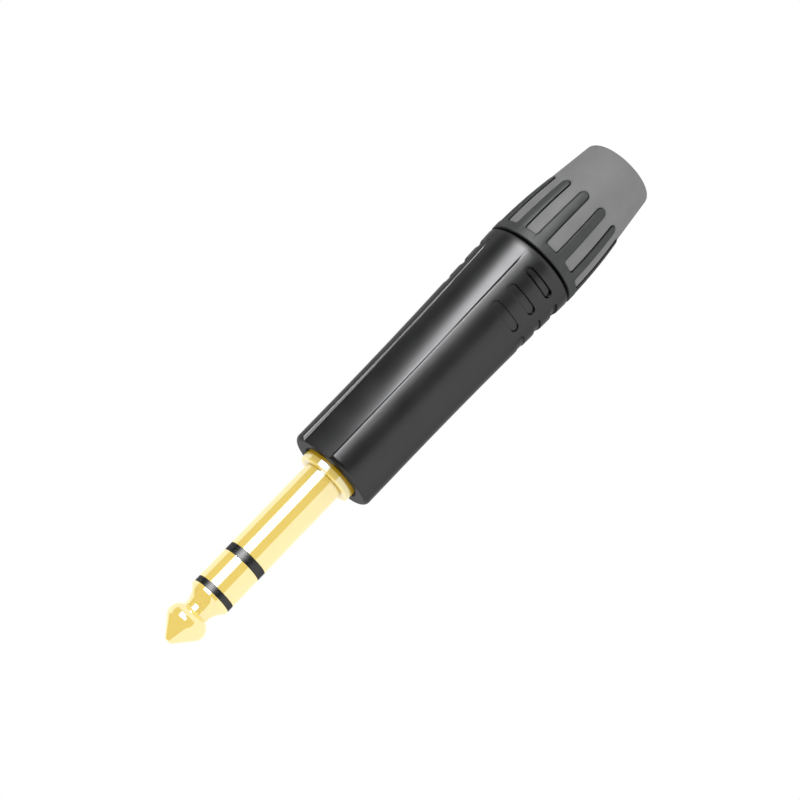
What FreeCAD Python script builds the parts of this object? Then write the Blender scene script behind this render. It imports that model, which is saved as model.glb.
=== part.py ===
import FreeCAD, Part
import math
import os

# Stereo jack plug, in millimetres.
# The plug stands on the tail of its boot, with the axis along Z and the tip up.
# The rear face of the boot is z = 0, and the long panel of the shell faces -Y.

V = FreeCAD.Vector

# Lengths along the axis, from the rear face of the boot up to the tip
tail_length = 8.3
finger_length = 10.2
collar_ring = 1.45
seam = 0.4
housing_length = 42.35
shoulder_show = 1.4
sleeve_length = 15.4
rear_band = 1.4
ring_length = 5.0
front_band = 1.0
tip_length = 8.6

# Outer radii and steps
plug_r = 3.175
band_step = 0.015
shoulder_r = 4.38
shoulder_round = 0.5
collar_step = 0.02
finger_fall = 0.74
rubber_step = 0.2
tail_rubber = 2.07
tail_round = 0.8

# Form of the tip
nose_r = 0.5
nose_cone_length = 2.8
nose_cone_fall = 0.21
bulb_length = 2.5
bulb_crest = 0.8
bulb_step = 0.075
valley_r = 1.95
neck_length = 0.6
flare_middle_r = 2.2
flare_middle = 0.9
tip_land = 0.5
land_step = 0.015

# Concentric contacts under the sleeve
rod_r = 1.0
tube_wall = 0.45
tail_wall = 0.6

# Shell
front_wall = 2.2
front_round = 0.75
hole_chamfer = 0.35
hole_clearance = 0.07
housing_wall = 1.31
rear_wall = 1.22
thread_spare = 0.65
edge_break = 0.15
flare_length = 35.2
panel_half_angle = 27.0
panel_edge_depth = 0.42
panel_middle_depth = 0.92
panel_wall_slope = 0.7
panel_rear_margin = 1.7
panel_overrun = 1.0
panel_sections = 6
groove_half_angle = 23.0
groove_width = 1.35
groove_pitch = 3.5
groove_count = 3
groove_depth = 0.49
groove_rear_margin = 2.9
groove_columns = (60.0, 120.0, 240.0, 300.0)
key_width = 2.0
key_height = 0.35
key_root = 1.5
key_clearance = 0.1

# Terminals and the insulation behind the sleeve
flange_clearance = 0.3
flange_length = 1.2
tag_thickness = 0.5
tag_hole_r = 0.6
ground_spacer_length = 1.5
ring_spacer_length = 1.3
spacer_step = 0.2
tag_step = 0.15
rivet_height = 0.7
rivet_step = 0.6
rivet_clearance = 0.15
ground_tag = {"width": 3.0, "room_share": 0.39, "angle": 180.0}
ring_tag = {"width": 2.4, "room_share": 0.52, "angle": 300.0}
tip_tag = {"width": 2.4, "room_share": 0.52, "angle": 60.0}
stack_room = 0.5
carrier_fit = 0.05
carrier_wall = 0.8
carrier_room = 0.2
carrier_end = 1.0
window_clearance = 0.1
liner_clearance = 0.2
liner_wall = 0.5

# Chuck
chuck_gap = 0.1
chuck_ring_lead = 4.85
chuck_ring_length = 5.0
chuck_clearance = 0.15
chuck_bore_step = 0.2
jaw_cone_length = 7.6
jaw_wall = 1.05
jaw_tip_wall = 0.5
jaw_count = 4
slit_width = 0.9
slit_length = 18.0
grip_rib_height = 0.4
grip_rib_crest = 0.4
grip_rib_foot = 0.8
grip_rib_pitch = 1.2
grip_rib_count = 5

# Collar and boot
collar_clearance = 0.15
thread_room = 0.4
spigot_wall = 0.85
spigot_length = 8.0
stop_gap = 0.05
neck_step = 0.9
finger_root_height = 1.1
finger_end_height = 1.3
finger_bedding = 0.3
finger_straight = 0.5
core_lip = 0.5
core_end_wall = 3.45
finger_count = 12
finger_root_width = 1.85
finger_tip_width = 1.6
finger_root_fillet = 0.4
cable_r = 3.75
cable_chamfer = 0.4
first_finger = 3.0

# Heights of the main faces
z_fingers = tail_length
z_ring = z_fingers + finger_length
z_collar = z_ring + collar_ring
z_housing = z_collar + seam
z_face = z_housing + housing_length
z_shoulder = z_face + shoulder_show
z_rear_band = z_shoulder + sleeve_length
z_ring_contact = z_rear_band + rear_band
z_front_band = z_ring_contact + ring_length
z_tip_contact = z_front_band + front_band
z_nose = z_tip_contact + tip_length
z_wall = z_face - front_wall
z_flange = z_wall - flange_length
z_spigot = z_housing + spigot_length
z_thread = z_spigot + thread_spare
z_finger_bend = z_ring + finger_straight

# Heights of the terminal stack, from the flange to the rear
z_ground_disc = z_flange - tag_thickness
z_ground_spacer = z_ground_disc - ground_spacer_length
z_ring_disc = z_ground_spacer - tag_thickness
z_ring_spacer = z_ring_disc - ring_spacer_length
z_tip_disc = z_ring_spacer - tag_thickness
z_rivet = z_tip_disc - rivet_height
z_carrier = z_rivet - carrier_room - carrier_end
z_chuck = z_spigot + chuck_ring_lead + chuck_ring_length
z_liner = z_chuck + chuck_gap

# Radii of the plug's own steps
band_r = plug_r - band_step
land_r = plug_r - land_step
bulb_r = plug_r - bulb_step
nose_cone_r = bulb_r - nose_cone_fall

# Radii of the concentric contacts, from the rod outwards
tip_tube_r = rod_r + tube_wall
ring_tube_r = tip_tube_r + tube_wall
ring_sleeve_r = ring_tube_r + tube_wall
sleeve_tail_r = ring_sleeve_r + tail_wall

# Radii of the three discs, each clear of the tags that pass it
rivet_r = rod_r + rivet_step
tip_disc_r = rivet_r + rivet_clearance + tag_thickness + tag_step
ring_spacer_r = tip_disc_r + spacer_step
ring_disc_r = ring_spacer_r + spacer_step + tag_thickness
ground_spacer_r = ring_disc_r + spacer_step
ground_disc_r = ground_spacer_r + spacer_step + tag_thickness

# Radii of what lies round the cable, from the cable out to the thread
chuck_bore_r = cable_r + chuck_bore_step
grip_rib_r = chuck_bore_r - grip_rib_height
jaw_tip_r = chuck_bore_r + jaw_tip_wall
chuck_body_r = chuck_bore_r + jaw_wall
spigot_bore_r = chuck_body_r + collar_clearance
spigot_r = spigot_bore_r + spigot_wall
thread_r = spigot_r + thread_room

# Radii of the shell and of what fits in it
cavity_r = ground_disc_r + stack_room + carrier_wall + carrier_fit
flange_r = cavity_r - flange_clearance
liner_r = cavity_r - liner_clearance
chuck_r = cavity_r - chuck_clearance
key_groove_r = cavity_r + key_height
key_r = key_groove_r - key_clearance
key_fit_width = key_width - 2 * key_clearance
housing_front_r = cavity_r + housing_wall
housing_rear_r = thread_r + rear_wall
groove_floor_r = housing_rear_r - groove_depth

# Radii of the collar and the boot
collar_r = housing_rear_r + collar_step
neck_r = collar_r - neck_step
finger_end_r = collar_r - finger_fall
core_front_r = collar_r - finger_root_height
core_rear_r = finger_end_r - finger_end_height
tail_end_r = cable_r + tail_rubber

# Heights inside the collar
z_core = z_fingers - core_lip
z_end_wall = z_core + core_end_wall
z_jaw_tip = z_end_wall + collar_clearance
z_jaw_cone = z_jaw_tip + jaw_cone_length


def point(r, z):
    return V(r, 0, z)


def line(a, b):
    return Part.LineSegment(point(*a), point(*b))


def arc(a, b, c):
    return Part.Arc(point(*a), point(*b), point(*c))


def turned(segments):
    """Solid of revolution about Z of a closed outline of lines and arcs in the XZ plane."""
    wire = Part.Wire([segment.toShape() for segment in segments])
    return Part.Face(wire).revolve(V(0, 0, 0), V(0, 0, 1), 360)


def turned_points(points):
    """Solid of revolution of a straight-sided outline given as (radius, height) points."""
    return turned([line(a, b) for a, b in zip(points, points[1:] + points[:1])])


def tube(outer_r, inner_r, z0, z1):
    solid = Part.makeCylinder(outer_r, z1 - z0, V(0, 0, z0))
    if inner_r == 0:
        return solid
    return solid.cut(Part.makeCylinder(inner_r, z1 - z0, V(0, 0, z0)))


def rotated(shape, angle):
    """Copy of a shape turned about Z by an angle in degrees."""
    copy = shape.copy()
    copy.rotate(V(0, 0, 0), V(0, 0, 1), angle)
    return copy


def at_angles(shape, angles):
    return [rotated(shape, angle) for angle in angles]


def box(x0, x1, width, z0, z1):
    """Block from x0 to x1, centred on the XZ plane, from z0 to z1."""
    return Part.makeBox(x1 - x0, width, z1 - z0, V(x0, -width / 2, z0))


def keys(radius, width, z0, z1):
    """Two opposite axial ribs, on +X and -X, from inside the wall out to a radius."""
    rib = box(radius - key_root, radius, width, z0, z1)
    return at_angles(rib, (0, 180))


def arc_on_flare(z_start, r_start, z_end, r_end, z):
    """Radius of a curve that leaves a cylinder smoothly at z_start and reaches r_end at z_end."""
    share = (z - z_start) / (z_end - z_start)
    return r_start + (r_end - r_start) * share * share


def housing_radius(z):
    z_flare = z_housing + flare_length
    if z >= z_flare:
        return housing_front_r
    return arc_on_flare(z_flare, housing_front_r, z_housing, housing_rear_r, z)


def corner_arc(r, z, round_r):
    """Quarter circle that rounds the outer front corner (r, z) of an outline, from the side to the face."""
    bend = round_r * (1 - math.sqrt(0.5))
    return arc((r, z - round_r), (r - bend, z - bend), (r - round_r, z))


def flare_arc(radius_at, z0, z1):
    """Arc through three points of a radius law."""
    middle = (z0 + z1) / 2
    return arc((radius_at(z0), z0), (radius_at(middle), middle), (radius_at(z1), z1))


# Gilded contacts

def tip_contact():
    """Nose cone, bulb, sharp valley, hollow flare and land, with the rod and its rivet head."""
    z_cone = z_nose - nose_cone_length
    z_valley = z_cone - bulb_length
    z_neck = z_valley - neck_length
    z_land = z_tip_contact + tip_land
    head = turned([
        line((0, z_nose), (nose_r, z_nose)),
        line((nose_r, z_nose), (nose_cone_r, z_cone)),
        arc((nose_cone_r, z_cone), (bulb_r, z_cone - bulb_crest), (valley_r, z_valley)),
        line((valley_r, z_valley), (valley_r, z_neck)),
        arc((valley_r, z_neck), (flare_middle_r, z_neck - flare_middle), (land_r, z_land)),
        line((land_r, z_land), (land_r, z_tip_contact)),
        line((land_r, z_tip_contact), (0, z_tip_contact)),
        line((0, z_tip_contact), (0, z_nose)),
    ])
    rod = tube(rod_r, 0, z_rivet, z_tip_contact)
    rivet = tube(rivet_r, 0, z_rivet, z_tip_disc)
    return head.fuse([rod, rivet]).removeSplitter()


def tip_insulator():
    band = tube(band_r, rod_r, z_front_band, z_tip_contact)
    return band.fuse(tube(tip_tube_r, rod_r, z_ring_spacer, z_front_band)).removeSplitter()


def ring_contact():
    ring = tube(plug_r, tip_tube_r, z_ring_contact, z_front_band)
    return ring.fuse(tube(ring_tube_r, tip_tube_r, z_ring_disc, z_ring_contact)).removeSplitter()


def ring_insulator():
    band = tube(band_r, ring_tube_r, z_rear_band, z_ring_contact)
    return band.fuse(tube(ring_sleeve_r, ring_tube_r, z_ground_spacer, z_rear_band)).removeSplitter()


def sleeve_contact():
    """Barrel, rounded shoulder, flange behind the front wall and the tail that carries the ground tag."""
    return turned([
        line((ring_sleeve_r, z_rear_band), (plug_r, z_rear_band)),
        line((plug_r, z_rear_band), (plug_r, z_shoulder)),
        line((plug_r, z_shoulder), (shoulder_r - shoulder_round, z_shoulder)),
        corner_arc(shoulder_r, z_shoulder, shoulder_round),
        line((shoulder_r, z_shoulder - shoulder_round), (shoulder_r, z_wall)),
        line((shoulder_r, z_wall), (flange_r, z_wall)),
        line((flange_r, z_wall), (flange_r, z_flange)),
        line((flange_r, z_flange), (sleeve_tail_r, z_flange)),
        line((sleeve_tail_r, z_flange), (sleeve_tail_r, z_ground_disc)),
        line((sleeve_tail_r, z_ground_disc), (ring_sleeve_r, z_ground_disc)),
        line((ring_sleeve_r, z_ground_disc), (ring_sleeve_r, z_rear_band)),
    ])


# Terminals and insulation

def terminal(outer_r, inner_r, z_top, tag):
    """Disc with a solder tag from its rim to the rear, rounded at the end and pierced for the wire."""
    disc = tube(outer_r, inner_r, z_top - tag_thickness, z_top)
    tag_outer = outer_r - tag_step
    tag_inner = tag_outer - tag_thickness
    z_end = z_chuck + tag["room_share"] * (z_carrier - z_chuck)
    half = tag["width"] / 2
    strip = box(tag_inner, tag_outer, tag["width"], z_end + half, z_top)
    tag_end = Part.makeCylinder(half, tag_thickness, V(tag_inner, 0, z_end + half), V(1, 0, 0))
    hole = Part.makeCylinder(tag_hole_r, tag_thickness, V(tag_inner, 0, z_end + half), V(1, 0, 0))
    solid = disc.fuse([strip, tag_end]).cut(hole).removeSplitter()
    return rotated(solid, tag["angle"])


def tag_window(outer_r, tag, z0, z1):
    """Opening for a tag, wider than the tag by the window clearance all round."""
    tag_outer = outer_r - tag_step
    window = box(tag_outer - tag_thickness - window_clearance, tag_outer + window_clearance,
                 tag["width"] + 2 * window_clearance, z0, z1)
    return rotated(window, tag["angle"])


def contact_carrier():
    """Keyed cup round the terminal stack, with a window in its end wall for each tag."""
    outer_r = cavity_r - carrier_fit
    cup = tube(outer_r, 0, z_carrier, z_flange)
    cup = cup.fuse(keys(key_r, key_fit_width, z_carrier, z_flange))
    cup = cup.cut(tube(outer_r - carrier_wall, 0, z_carrier + carrier_end, z_flange))
    tags = ((ground_disc_r, ground_tag), (ring_disc_r, ring_tag), (tip_disc_r, tip_tag))
    windows = [tag_window(r, tag, z_carrier, z_carrier + carrier_end) for r, tag in tags]
    return cup.cut(windows).removeSplitter()


# Shell

def panel_section(z):
    """Closed outline at one height: the panel's floor, flatter than the shell, and its sloping walls."""
    body_r = housing_radius(z)
    z_end = z_housing + panel_rear_margin
    fade = (z - z_end) / (z_face - z_end)
    edge_r = body_r - panel_edge_depth * fade
    middle_r = body_r - panel_middle_depth * fade
    outer_r = body_r + panel_overrun
    half = math.radians(panel_half_angle)
    floor_half = half - panel_wall_slope * panel_edge_depth * fade / body_r
    outer_half = half + panel_wall_slope * panel_overrun / body_r

    def at(radius, angle):
        return V(radius * math.sin(angle), -radius * math.cos(angle), z)

    floor = Part.Arc(at(edge_r, -floor_half), at(middle_r, 0), at(edge_r, floor_half))
    outside = Part.Arc(at(outer_r, outer_half), at(outer_r, 0), at(outer_r, -outer_half))
    walls = (Part.LineSegment(at(edge_r, floor_half), at(outer_r, outer_half)),
             Part.LineSegment(at(outer_r, -outer_half), at(edge_r, -floor_half)))
    return Part.Wire([floor.toShape(), walls[0].toShape(), outside.toShape(), walls[1].toShape()])


def panel_cutter():
    """Loft of the panel's sections, from in front of the shell to where its floor meets the surface."""
    z_first = z_face + panel_overrun
    z_last = z_housing + panel_rear_margin - panel_overrun
    step = (z_last - z_first) / (panel_sections - 1)
    return Part.makeLoft([panel_section(z_first + step * i) for i in range(panel_sections)], True, False)


def groove_cutter(z):
    """Slot with round ends, lying round the shell about +X, with its floor on a cylinder."""
    radius = groove_width / 2
    end_angle = groove_half_angle - math.degrees(radius / groove_floor_r)
    half_angle = math.radians(end_angle)
    reach = 2 * collar_r
    x = reach * math.cos(half_angle)
    y = reach * math.sin(half_angle)
    corners = [V(0, 0, z - radius), V(x, -y, z - radius), V(x, y, z - radius), V(0, 0, z - radius)]
    wedge = Part.Face(Part.makePolygon(corners)).extrude(V(0, 0, groove_width))
    end = Part.makeCylinder(radius, reach, V(0, 0, z), V(1, 0, 0))
    slot = wedge.fuse(at_angles(end, (-end_angle, end_angle)))
    return slot.common(tube(reach, groove_floor_r, z - radius, z + radius))


def housing():
    """Turned shell with front wall, stepped bore, two key grooves, two panels and columns of grip grooves."""
    hole_r = shoulder_r + hole_clearance
    z_flare = z_housing + flare_length
    z_low = z_housing + edge_break
    low_r = housing_radius(z_low)
    shell = turned([
        flare_arc(housing_radius, z_low, z_flare),
        line((housing_front_r, z_flare), (housing_front_r, z_face - front_round)),
        corner_arc(housing_front_r, z_face, front_round),
        line((housing_front_r - front_round, z_face), (hole_r + hole_chamfer, z_face)),
        line((hole_r + hole_chamfer, z_face), (hole_r, z_face - hole_chamfer)),
        line((hole_r, z_face - hole_chamfer), (hole_r, z_wall)),
        line((hole_r, z_wall), (cavity_r, z_wall)),
        line((cavity_r, z_wall), (cavity_r, z_thread)),
        line((cavity_r, z_thread), (thread_r, z_thread)),
        line((thread_r, z_thread), (thread_r, z_low)),
        line((thread_r, z_low), (thread_r + edge_break, z_housing)),
        line((thread_r + edge_break, z_housing), (low_r - edge_break, z_housing)),
        line((low_r - edge_break, z_housing), (low_r, z_low)),
    ])
    panel = panel_cutter()
    cutters = at_angles(panel, (0, 180))
    cutters += keys(key_groove_r, key_width, z_thread, z_flange)
    for row in range(groove_count):
        groove = groove_cutter(z_housing + groove_rear_margin + row * groove_pitch)
        cutters += at_angles(groove, [angle - 90 for angle in groove_columns])
    return shell.cut(cutters)


# Chuck

def chuck():
    """Keyed ring and slit jaws with a clamping cone outside and gripping ribs inside their ends."""
    z_step = z_chuck - chuck_ring_length
    outline = [(chuck_bore_r, z_chuck), (chuck_r, z_chuck), (chuck_r, z_step), (chuck_body_r, z_step),
               (chuck_body_r, z_jaw_cone), (jaw_tip_r, z_jaw_tip)]
    for i in range(grip_rib_count):
        z = z_jaw_tip + i * grip_rib_pitch
        outline += [(grip_rib_r, z), (grip_rib_r, z + grip_rib_crest), (chuck_bore_r, z + grip_rib_foot),
                    (chuck_bore_r, z + grip_rib_pitch)]
    body = turned_points(outline)
    body = body.fuse(keys(key_r, key_fit_width, z_step, z_chuck))
    slit = box(0, collar_r, slit_width, z_jaw_tip, z_jaw_tip + slit_length)
    step = 360 / jaw_count
    slits = at_angles(slit, [step * (i + 0.5) for i in range(jaw_count)])
    bore = tube(chuck_bore_r, 0, z_step, z_chuck)
    return body.cut([bore] + slits).removeSplitter()


# Collar and boot

def finger_radius(z):
    """Outer radius over the fingers: straight at the ring, then a smooth curve in to the fingers' ends."""
    if z >= z_finger_bend:
        return collar_r
    return arc_on_flare(z_finger_bend, collar_r, z_fingers, finger_end_r, z)


def rubber_radius(z):
    return finger_radius(z) - rubber_step


def core_radius(z):
    """Radius of the tapering core that the fingers stand on."""
    share = (z_ring - z) / (z_ring - z_core)
    return core_front_r + (core_rear_r - core_front_r) * share


def finger():
    """One finger: a flat outline with filleted root, tapering sides and round end, pushed out along X."""
    root = finger_root_width / 2
    end = finger_tip_width / 2
    foot = root + finger_root_fillet
    bend = finger_root_fillet * (1 - math.sqrt(0.5))
    z_fillet = z_ring - finger_root_fillet
    z_end = z_fingers + end
    right = (V(0, foot, z_ring), V(0, root + bend, z_ring - bend), V(0, root, z_fillet))
    left = [V(0, -corner.y, corner.z) for corner in right]
    top = [V(0, foot, z_finger_bend), V(0, -foot, z_finger_bend)]
    tip = [V(0, end, z_end), V(0, 0, z_fingers), V(0, -end, z_end)]
    segments = [
        Part.Arc(*right),
        Part.LineSegment(right[2], tip[0]),
        Part.Arc(*tip),
        Part.LineSegment(tip[2], left[2]),
        Part.Arc(left[2], left[1], left[0]),
        Part.LineSegment(left[0], top[1]),
        Part.LineSegment(top[1], top[0]),
        Part.LineSegment(top[0], right[0]),
    ]
    outline = Part.Wire([segment.toShape() for segment in segments])
    return Part.Face(outline).extrude(V(2 * collar_r, 0, 0))


def collar_ring_solid():
    """Smooth ring in front of the fingers, with its front edge broken."""
    inner_r = core_front_r - finger_bedding
    return turned_points([(inner_r, z_ring), (collar_r, z_ring), (collar_r, z_collar - edge_break),
                          (collar_r - edge_break, z_collar), (inner_r, z_collar)])


def finger_envelope():
    """Ring-shaped space between a surface bedded in the core and the outer curve of the fingers."""
    inner_front = core_radius(z_finger_bend) - finger_bedding
    inner_rear = core_radius(z_fingers) - finger_bedding
    return turned([
        line((inner_rear, z_fingers), (finger_end_r, z_fingers)),
        flare_arc(finger_radius, z_fingers, z_finger_bend),
        line((collar_r, z_finger_bend), (inner_front, z_finger_bend)),
        line((inner_front, z_finger_bend), (inner_rear, z_fingers)),
    ])


def clamp_nut():
    """Spigot for the shell's thread, neck, ring, tapering core with the clamping cone, and the fingers."""
    z_stop = z_housing - stop_gap
    core = turned_points([
        (spigot_bore_r, z_spigot), (spigot_r, z_spigot), (spigot_r, z_stop), (neck_r, z_stop),
        (neck_r, z_collar), (core_front_r, z_collar), (core_front_r, z_ring), (core_rear_r, z_core),
        (cable_r, z_core), (cable_r, z_end_wall), (jaw_tip_r + collar_clearance, z_end_wall),
        (spigot_bore_r, z_jaw_cone),
    ])
    one = finger().common(finger_envelope())
    step = 360 / finger_count
    fingers = at_angles(one, [first_finger + step * i for i in range(finger_count)])
    return core.fuse([collar_ring_solid()] + fingers).removeSplitter()


def boot():
    """Rubber moulded over the core, between the fingers, and on as the tail where the cable comes out."""
    bend = tail_round * (1 - math.sqrt(0.5))
    body = turned([
        line((cable_r + cable_chamfer, 0), (tail_end_r - tail_round, 0)),
        arc((tail_end_r - tail_round, 0), (tail_end_r - bend, bend), (tail_end_r, tail_round)),
        line((tail_end_r, tail_round), (rubber_radius(z_fingers), z_fingers)),
        flare_arc(rubber_radius, z_fingers, z_finger_bend),
        line((rubber_radius(z_finger_bend), z_finger_bend), (cable_r, z_finger_bend)),
        line((cable_r, z_finger_bend), (cable_r, cable_chamfer)),
        line((cable_r, cable_chamfer), (cable_r + cable_chamfer, 0)),
    ])
    in_front = tube(2 * collar_r, 0, z_ring, z_collar)
    inside = turned_points([(0, z_core), (core_rear_r, z_core), (core_front_r, z_ring), (0, z_ring)])
    return body.cut([in_front, inside, clamp_nut()])


def parts():
    return {
        "tip_contact": tip_contact(),
        "tip_insulator": tip_insulator(),
        "ring_contact": ring_contact(),
        "ring_insulator": ring_insulator(),
        "sleeve_contact": sleeve_contact(),
        "ground_terminal": terminal(ground_disc_r, sleeve_tail_r, z_flange, ground_tag),
        "ground_spacer": tube(ground_spacer_r, ring_sleeve_r, z_ground_spacer, z_ground_disc),
        "ring_terminal": terminal(ring_disc_r, ring_tube_r, z_ground_spacer, ring_tag),
        "ring_spacer": tube(ring_spacer_r, tip_tube_r, z_ring_spacer, z_ring_disc),
        "tip_terminal": terminal(tip_disc_r, rod_r, z_ring_spacer, tip_tag),
        "contact_carrier": contact_carrier(),
        "insulating_sleeve": tube(liner_r, liner_r - liner_wall, z_liner, z_carrier),
        "housing": housing(),
        "chuck": chuck(),
        "clamp_nut": clamp_nut(),
        "boot": boot(),
    }


os.makedirs("parts", exist_ok=True)
for name, shape in parts().items():
    print(name, "solids", len(shape.Solids), "valid", shape.isValid(), "volume", round(shape.Volume, 2))
    shape.exportStep("parts/" + name + ".step")
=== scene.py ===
# %% [markdown]
# A stereo jack plug in close-up: three gilded contacts on one shaft, a black metal shell with a long
# recessed panel, and a screwed collar whose fingers lie in a grey rubber cable boot.
# The construction comes in ready made. What is left for Blender is the skin that a camera sees, so each
# visible piece is worked out again here as a fine surface, and gets a finish of its own.

# %% Load the construction
import math

import bpy
import numpy as np
from mathutils import Matrix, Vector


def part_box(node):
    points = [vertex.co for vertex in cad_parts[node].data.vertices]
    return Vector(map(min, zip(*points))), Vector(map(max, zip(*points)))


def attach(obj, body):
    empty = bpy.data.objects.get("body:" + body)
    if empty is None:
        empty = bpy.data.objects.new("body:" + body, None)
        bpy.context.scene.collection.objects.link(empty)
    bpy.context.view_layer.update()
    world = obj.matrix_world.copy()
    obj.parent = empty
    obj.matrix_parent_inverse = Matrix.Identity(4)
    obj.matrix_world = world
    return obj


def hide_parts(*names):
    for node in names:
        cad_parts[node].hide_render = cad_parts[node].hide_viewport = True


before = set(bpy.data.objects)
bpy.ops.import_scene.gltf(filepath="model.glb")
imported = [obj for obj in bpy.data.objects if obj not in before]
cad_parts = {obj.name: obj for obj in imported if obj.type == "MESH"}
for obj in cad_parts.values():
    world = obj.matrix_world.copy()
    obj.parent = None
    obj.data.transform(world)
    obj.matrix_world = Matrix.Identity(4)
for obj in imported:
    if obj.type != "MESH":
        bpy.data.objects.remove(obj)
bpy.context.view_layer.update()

# %% [markdown]
# Everything turned on a lathe is known once its heights and radii are known. The heights are read from
# the boxes of the imported pieces, so that a change of the construction carries over to the skin.
# Lengths are in millimetres here, and only the last step turns them into Blender's metres.

# %% Heights along the axis
MM = 0.001


def low(node):
    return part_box(node)[0][2] / MM


def high(node):
    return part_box(node)[1][2] / MM


def reach(node, z0, z1):
    """Greatest distance from the axis among a node's corners between two heights, in millimetres."""
    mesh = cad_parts[node].data
    co = np.empty(3 * len(mesh.vertices))
    mesh.vertices.foreach_get("co", co)
    co = co.reshape(-1, 3) / MM
    inside = (co[:, 2] >= z0) & (co[:, 2] <= z1)
    return float(np.hypot(co[inside, 0], co[inside, 1]).max())


z_core = low("clamp_nut")
z_fingers = 8.3
z_ring = high("boot")
z_housing = low("housing")
z_spigot = high("clamp_nut")
z_face = high("housing")
z_sleeve = high("sleeve_contact")
z_ring_contact = high("ring_insulator")
z_front_band = high("ring_contact")
z_tip_contact = high("tip_insulator")
z_nose = high("tip_contact")
print("shell from", round(z_housing, 2), "to", round(z_face, 2), "nose at", round(z_nose, 2))

# %% [markdown]
# A turned piece is an outline carried round an axis. The outline is a short list of corners, each with
# the radius that rounds it, because a corner with no rounding catches no light and looks like paper.
# The corners become arcs here, so that the lists further down stay as short as a drawing's. Two lengths
# serve all of them: the rounding of a crisp edge, and how far a guard point stands off its arc.

# %% Outlines
EDGE = 0.05
GUARD = 0.03


def unit(vector):
    return vector / np.linalg.norm(vector)


def fillet(before, corner, after, radius, steps=5):
    """Arc of a radius that touches both sides of a corner.

    With u and v the unit directions from the corner to its neighbours and h half the angle between
    them, the centre lies on the bisector at radius / sin(h), and the arc runs from the touching point
    on one side to the other as a spherical blend of the two spokes. A guard point on each side keeps
    the shading of the arc from running on into the straight stretch."""
    if radius == 0:
        return corner[None, :]
    u = unit(before - corner)
    v = unit(after - corner)
    half = math.acos(np.clip(u @ v, -1, 1)) / 2
    centre = corner + unit(u + v) * radius / math.sin(half)
    start = corner + u * radius / math.tan(half) - centre
    end = corner + v * radius / math.tan(half) - centre
    sweep = math.pi - 2 * half
    t = np.linspace(0, 1, steps)[:, None]
    arc = centre + (np.sin((1 - t) * sweep) * start + np.sin(t * sweep) * end) / math.sin(sweep)
    return np.vstack([arc[0] + GUARD * u, arc, arc[-1] + GUARD * v])


def outline(corners):
    """Closed outline of (radius, height, rounding) corners as an array of (radius, height) rows."""
    points = np.array([corner[:2] for corner in corners], float)
    before = np.roll(points, 1, axis=0)
    after = np.roll(points, -1, axis=0)
    arcs = [fillet(before[i], points[i], after[i], corners[i][2]) for i in range(len(corners))]
    return np.vstack(arcs)


def arc_through(a, b, c, steps):
    """Arc through three points: its centre is where the two perpendicular bisectors meet."""
    a, b, c = (np.array(p, float) for p in (a, b, c))
    sides = np.array([b - a, c - b])
    middles = np.array([sides[0] @ (a + b) / 2, sides[1] @ (b + c) / 2])
    centre = np.linalg.solve(sides, middles)
    first = math.atan2(*(a - centre)[::-1])
    bend = [(math.atan2(*(p - centre)[::-1]) - first + math.pi) % (2 * math.pi) - math.pi for p in (b, c)]
    last = bend[1] if bend[0] * bend[1] > 0 else bend[1] - math.copysign(2 * math.pi, bend[1])
    angle = first + np.linspace(0, last, steps)
    radius = np.linalg.norm(a - centre)
    return centre + radius * np.stack([np.cos(angle), np.sin(angle)], -1)


def spaced(start, end, coarse, stretches):
    """Values from start to end with a coarse step, and a finer one inside (from, to, step) stretches.

    The number of steps per unit is summed along the way, and the values are read off where the sum
    passes evenly spaced marks."""
    t = np.linspace(start, end, 40001)
    density = np.full_like(t, 1 / coarse)
    for first, last, step in stretches:
        density = np.where((t >= first) & (t <= last), np.maximum(density, 1 / step), density)
    total = np.concatenate([[0], np.cumsum((density[1:] + density[:-1]) / 2 * np.diff(t))])
    return np.interp(np.linspace(0, total[-1], int(np.ceil(total[-1])) + 1), total, t)


right_angle = np.array([[0, 0], [1, 0], [1, 1]], float)
print("an edge of", EDGE, "mm is drawn with", len(fillet(*right_angle, EDGE)), "points")

# %% [markdown]
# One helper makes every mesh. It takes a grid of points: a row for each point of the outline and a
# column for each angle. Neighbouring rows and columns make four-sided faces, and because the outline
# runs up the outside and the angles run anticlockwise, every face looks outwards. Edges that bend by
# more than a sharp angle keep their crease, and all others are shaded round.

# %% From a grid of points to a piece
SHARP = math.radians(40)


def grid_faces(rows, columns, wrapped):
    """Four corners of each face: (i, j), (i, j + 1), (i + 1, j + 1), (i + 1, j)."""
    i, j = np.meshgrid(np.arange(rows if wrapped else rows - 1), np.arange(columns), indexing="ij")
    up = (i + 1) % rows
    right = (j + 1) % columns
    faces = np.stack([i * columns + j, i * columns + right, up * columns + right, up * columns + j], -1)
    return faces.reshape(-1, 4)


def pole_faces(first, ring, columns, downward):
    """Triangles from one pole to a ring of points that starts at index ring."""
    j = np.arange(columns)
    right = (j + 1) % columns
    order = (ring + right, ring + j) if downward else (ring + j, ring + right)
    return np.stack([np.full(columns, first), order[0], order[1]], -1)


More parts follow.
